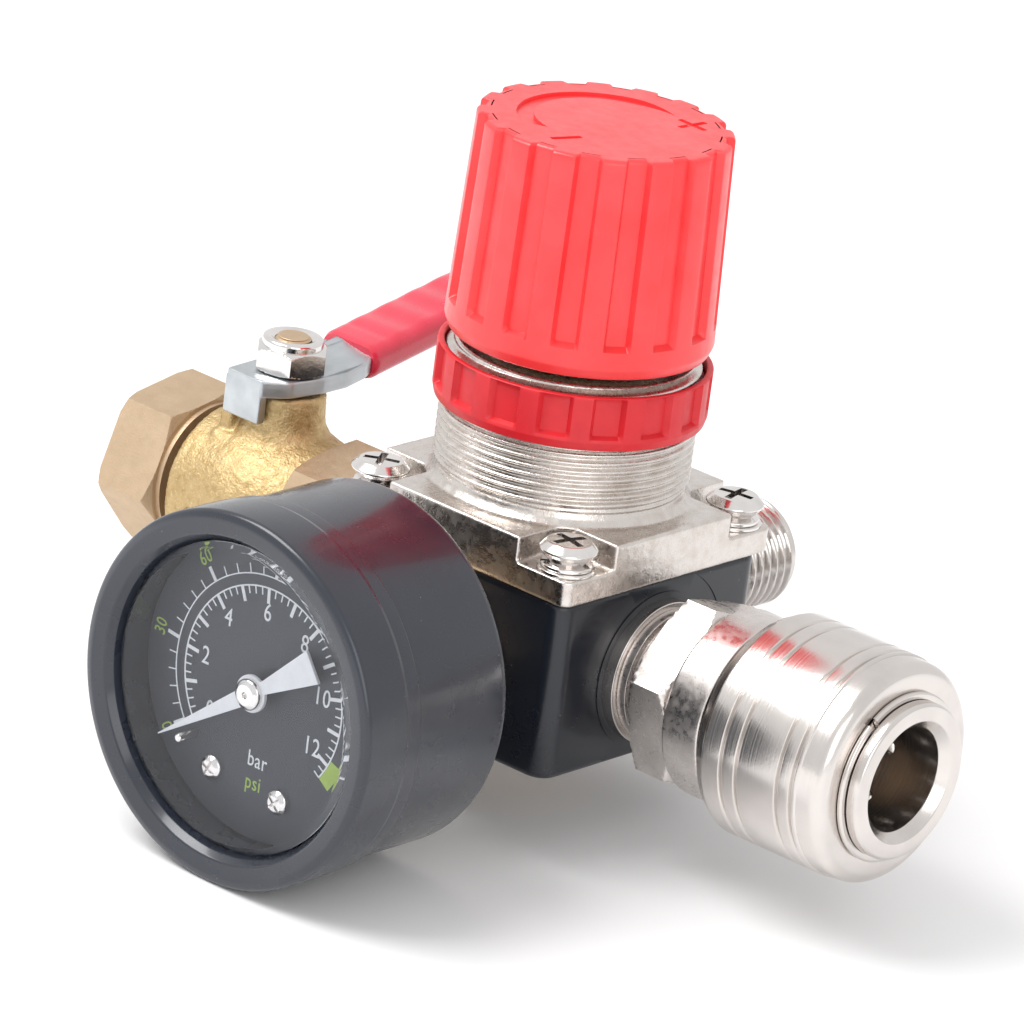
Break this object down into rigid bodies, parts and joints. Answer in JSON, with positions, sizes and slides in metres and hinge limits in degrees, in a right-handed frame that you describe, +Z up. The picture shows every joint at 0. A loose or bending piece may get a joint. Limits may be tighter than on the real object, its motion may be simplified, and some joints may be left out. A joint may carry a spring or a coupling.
{
  "type": "air pressure regulator",
  "caption": "Compressed-air pressure regulator with adjusting knob, dial gauge, quick coupler, lever ball valve and threaded inlet nipple.",
  "frame": {"origin": "centre of the inlet nipple's open end", "axes": "+Z up along the adjusting knob's axis, +Y out of the inlet nipple, +X out of the quick coupler; the gauge faces -Y and the ball valve points along -X"},
  "size_m": [0.1167, 0.1152, 0.0806],
  "materials": {
    "body_black": "semi-gloss black enamel on a zinc die casting",
    "gauge_black": "gloss black enamel on deep-drawn steel",
    "cast_nickel": "nickel plating over a slightly uneven zinc casting, satin",
    "turned_nickel": "nickel plating over turned brass, fine lathe marks",
    "screw_chrome": "bright nickel plated screws and pins",
    "steel": "plain machined and spring steel",
    "zinc_plate": "pressed steel with satin zinc plating",
    "cast_brass": "hot-forged brass with a grainy sand-blasted skin",
    "machined_brass": "machined brass, matt on the flats",
    "red_plastic": "moulded red plastic, satin",
    "red_vinyl": "dipped crimson vinyl, glossy",
    "black_rubber": "moulded black rubber",
    "dial_paint": "matt dark grey dial paint with printed scales",
    "pointer_paint": "matt white paint",
    "lens_clear": "clear moulded lens",
    "ptfe_white": "turned white fluoropolymer"
  },
  "bodies": {
    "root": {"body_block": "body_black", "bonnet": "cast_nickel", "bonnet_screw_1": "screw_chrome", "bonnet_screw_2": "screw_chrome", "bonnet_screw_3": "screw_chrome", "bonnet_screw_4": "screw_chrome", "main_spring": "steel", "diaphragm": "black_rubber", "poppet_spring": "steel", "bottom_plug": "machined_brass", "inlet_nipple": "turned_nickel", "gauge_socket": "machined_brass", "gauge_case": "gauge_black", "gauge_bezel": "gauge_black", "gauge_lens": "lens_clear", "dial_plate": "dial_paint", "dial_stop_pin": "screw_chrome", "dial_screw_1": "screw_chrome", "dial_screw_2": "screw_chrome", "bourdon_tube": "machined_brass", "movement_frame": "machined_brass", "coupler_body": "turned_nickel", "coupler_washer": "ptfe_white", "sleeve_spring": "steel", "snap_ring": "steel", "coupler_seal": "black_rubber", "coupler_poppet_spring": "steel", "valve_body": "cast_brass", "valve_end": "machined_brass", "ball_seat_1": "ptfe_white", "ball_seat_2": "ptfe_white", "stem_packing": "ptfe_white", "locking_ball_1": "screw_chrome", "locking_ball_2": "screw_chrome", "locking_ball_3": "screw_chrome", "locking_ball_4": "screw_chrome", "locking_ball_5": "screw_chrome", "locking_ball_6": "screw_chrome"},
    "adjusting_screw": {"adjusting_screw": "steel"},
    "knob": {"knob": "red_plastic"},
    "spring_seat": {"spring_seat": "machined_brass"},
    "panel_nut": {"panel_nut": "red_plastic"},
    "diaphragm_plate": {"diaphragm_plate": "zinc_plate"},
    "valve_poppet": {"valve_poppet": "machined_brass", "poppet_seal": "black_rubber"},
    "pointer": {"pointer_arbor": "steel", "pointer": "pointer_paint", "pointer_cap": "screw_chrome"},
    "sector_gear": {"sector_gear": "machined_brass"},
    "tube_link": {"tube_link": "steel"},
    "coupler_sleeve": {"coupler_sleeve": "turned_nickel"},
    "coupler_poppet": {"coupler_poppet": "machined_brass"},
    "valve_handle": {"valve_ball": "screw_chrome", "valve_stem": "machined_brass", "valve_lever": "zinc_plate", "lever_grip": "red_vinyl", "stem_nut": "screw_chrome"}
  },
  "joints": [
    {"name": "knob_turn", "type": "hinge", "parent": "root", "child": "adjusting_screw", "pos_m": [0, -0.0385, 0.04], "axis": [0, 0, -1], "range_deg": [0, 1080]},
    {"name": "knob_lift", "type": "slide", "parent": "adjusting_screw", "child": "knob", "axis": [0, 0, 1], "range_m": [0, 0.0025]},
    {"name": "seat_travel", "type": "slide", "parent": "root", "child": "spring_seat", "axis": [0, 0, -1], "range_m": [0, 0.00376], "deforming": ["main_spring"]},
    {"name": "panel_nut_travel", "type": "slide", "parent": "root", "child": "panel_nut", "axis": [0, 0, -1], "range_m": [0, 0.009]},
    {"name": "diaphragm_stroke", "type": "slide", "parent": "root", "child": "diaphragm_plate", "axis": [0, 0, -1], "range_m": [0, 0.001], "stiffness_N_per_m": 800, "deforming": ["diaphragm", "main_spring"]},
    {"name": "poppet_stroke", "type": "slide", "parent": "root", "child": "valve_poppet", "axis": [0, 0, -1], "range_m": [0, 0.001], "deforming": ["poppet_spring"]},
    {"name": "pointer_turn", "type": "hinge", "parent": "root", "child": "pointer", "pos_m": [0, -0.0385, 0], "axis": [0, 1, 0], "range_deg": [0, 240], "stiffness_Nm_per_rad": 0.002, "deforming": ["bourdon_tube"]},
    {"name": "sector_turn", "type": "hinge", "parent": "root", "child": "sector_gear", "pos_m": [0, -0.0385, -0.0087], "axis": [0, 1, 0], "range_deg": [-40, 0]},
    {"name": "link_swing", "type": "hinge", "parent": "sector_gear", "child": "tube_link", "pos_m": [-0.00103, -0.0385, -0.01152], "axis": [0, 1, 0], "range_deg": [0, 40]},
    {"name": "sleeve_slide", "type": "slide", "parent": "root", "child": "coupler_sleeve", "axis": [-1, 0, 0], "range_m": [0, 0.003], "stiffness_N_per_m": 800, "deforming": ["sleeve_spring"]},
    {"name": "coupler_poppet_slide", "type": "slide", "parent": "root", "child": "coupler_poppet", "axis": [-1, 0, 0], "range_m": [0, 0.0035], "stiffness_N_per_m": 400, "deforming": ["coupler_poppet_spring"]},
    {"name": "valve_turn", "type": "hinge", "parent": "root", "child": "valve_handle", "pos_m": [-0.0424, -0.0385, 0], "axis": [0, 0, 1], "range_deg": [0, 90]}
  ],
  "couplings": [
    {"joint": "seat_travel", "follows": "knob_turn", "m_per_rad": 0.00019894},
    {"joint": "poppet_stroke", "follows": "diaphragm_stroke", "ratio": 1},
    {"joint": "sector_turn", "follows": "pointer_turn", "ratio": -0.16667},
    {"joint": "link_swing", "follows": "pointer_turn", "ratio": 0.16667}
  ]
}
